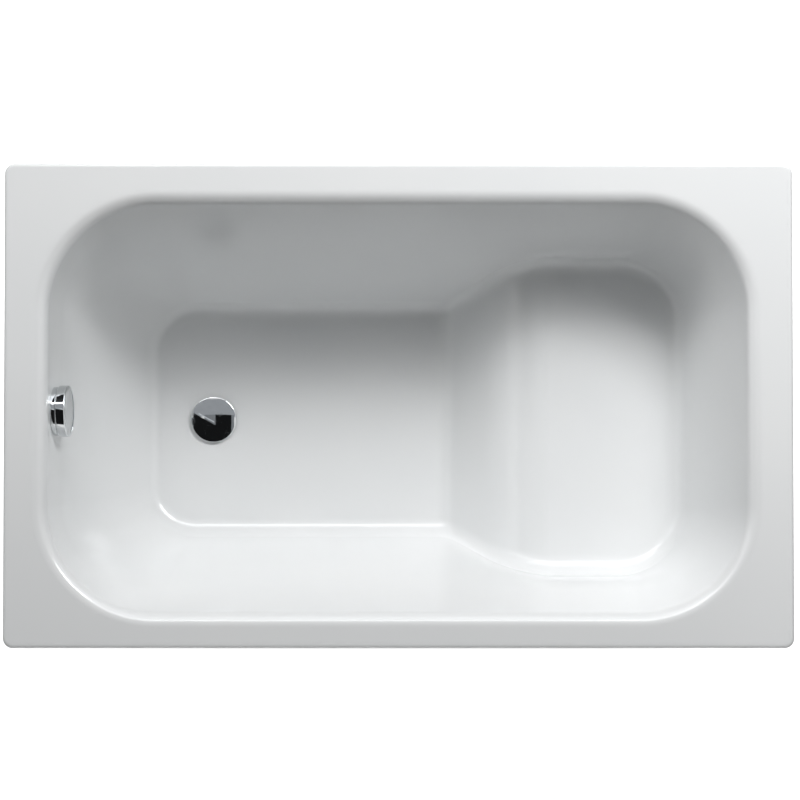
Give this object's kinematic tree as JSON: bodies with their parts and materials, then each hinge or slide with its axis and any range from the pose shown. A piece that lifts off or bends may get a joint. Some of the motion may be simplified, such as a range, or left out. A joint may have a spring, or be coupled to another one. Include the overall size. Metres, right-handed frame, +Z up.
{
  "type": "bathtub",
  "caption": "Short built-in bathtub of white enamelled steel with a raised seat, turn-knob overflow, pop-up plug, hose, trap and adjustable foot frame.",
  "frame": {"origin": "on the room's floor below the middle of the rim", "axes": "+X to the seat end, away from the drain and overflow; +Y to the wall side, away from the bather's side; +Z up"},
  "size_m": [1.18, 0.725, 0.56],
  "materials": {
    "enamel": "glossy white vitreous enamel",
    "bitumen": "dull bitumen felt",
    "zinc_steel": "bright zinc plated steel",
    "rubber": "matt black rubber",
    "foot_plastic": "black moulded plastic, fine grain",
    "chrome": "polished chrome",
    "plain_steel": "stainless steel, satin",
    "moulding": "white moulded plastic, half gloss",
    "hose_plastic": "white ribbed plastic hose",
    "ivory_plastic": "natural plastic, unpainted",
    "sleeve_plastic": "black cable sleeve"
  },
  "bodies": {
    "tub": {"tub_shell": "enamel", "floor_damping_mat": "bitumen", "seat_damping_mat": "bitumen", "earth_tab": "zinc_steel", "deep_rail": "zinc_steel", "seat_rail": "zinc_steel", "weld_nuts": "zinc_steel", "lock_nuts": "zinc_steel", "deep_rail_pads": "rubber", "seat_rail_pads": "rubber", "strainer_gasket": "rubber", "drain_gasket": "rubber", "overflow_gasket": "rubber", "hose_seals": "rubber", "trap_inlet_seal": "rubber", "outlet_seal": "rubber", "strainer": "chrome", "knob_ring": "chrome", "lever_pin": "plain_steel", "clamp_screws": "plain_steel", "cable_ferrules": "plain_steel", "waste_body": "moulding", "overflow_body": "moulding", "overflow_bush": "moulding", "upper_hose_nut": "moulding", "lower_hose_nut": "moulding", "trap_union_nut": "moulding", "trap_inlet": "moulding", "trap_bowl": "moulding", "outlet_nut": "moulding", "outlet_pipe": "moulding", "overflow_hose": "hose_plastic", "cable_sleeve": "sleeve_plastic"},
    "knob": {"turn_knob": "chrome", "knob_spindle": "plain_steel", "cable_crank": "ivory_plastic"},
    "plug": {"plug_cap": "chrome", "plug_stem": "plain_steel", "plug_seal": "rubber"},
    "lever": {"lift_lever": "ivory_plastic"},
    "leg_drain_front": {"leg_rod_drain_front": "zinc_steel", "foot_drain_front": "foot_plastic", "sole_drain_front": "rubber"},
    "leg_drain_wall": {"leg_rod_drain_wall": "zinc_steel", "foot_drain_wall": "foot_plastic", "sole_drain_wall": "rubber"},
    "leg_seat_front": {"leg_rod_seat_front": "zinc_steel", "foot_seat_front": "foot_plastic", "sole_seat_front": "rubber"},
    "leg_seat_wall": {"leg_rod_seat_wall": "zinc_steel", "foot_seat_wall": "foot_plastic", "sole_seat_wall": "rubber"}
  },
  "joints": [
    {"name": "knob_turn", "type": "hinge", "parent": "tub", "child": "knob", "pos_m": [-0.51955, -0.0065, 0.495], "axis": [0.9925, 0, 0.1219], "range_deg": [0, 90]},
    {"name": "plug_rise", "type": "slide", "parent": "tub", "child": "plug", "axis": [0, 0, 1], "range_m": [0, 0.01]},
    {"name": "lever_turn", "type": "hinge", "parent": "tub", "child": "lever", "pos_m": [-0.275, -0.0065, 0.1397], "axis": [0, 1, 0], "range_deg": [0, 30]},
    {"name": "leg_drain_front_screw", "type": "slide", "parent": "tub", "child": "leg_drain_front", "axis": [0, 0, 1], "range_m": [-0.02, 0.02]},
    {"name": "leg_drain_wall_screw", "type": "slide", "parent": "tub", "child": "leg_drain_wall", "axis": [0, 0, 1], "range_m": [-0.02, 0.02]},
    {"name": "leg_seat_front_screw", "type": "slide", "parent": "tub", "child": "leg_seat_front", "axis": [0, 0, 1], "range_m": [-0.02, 0.02]},
    {"name": "leg_seat_wall_screw", "type": "slide", "parent": "tub", "child": "leg_seat_wall", "axis": [0, 0, 1], "range_m": [-0.02, 0.02]}
  ],
  "couplings": [
    {"joint": "plug_rise", "follows": "knob_turn", "m_per_rad": 0.006366},
    {"joint": "lever_turn", "follows": "knob_turn", "ratio": 0.3333}
  ]
}
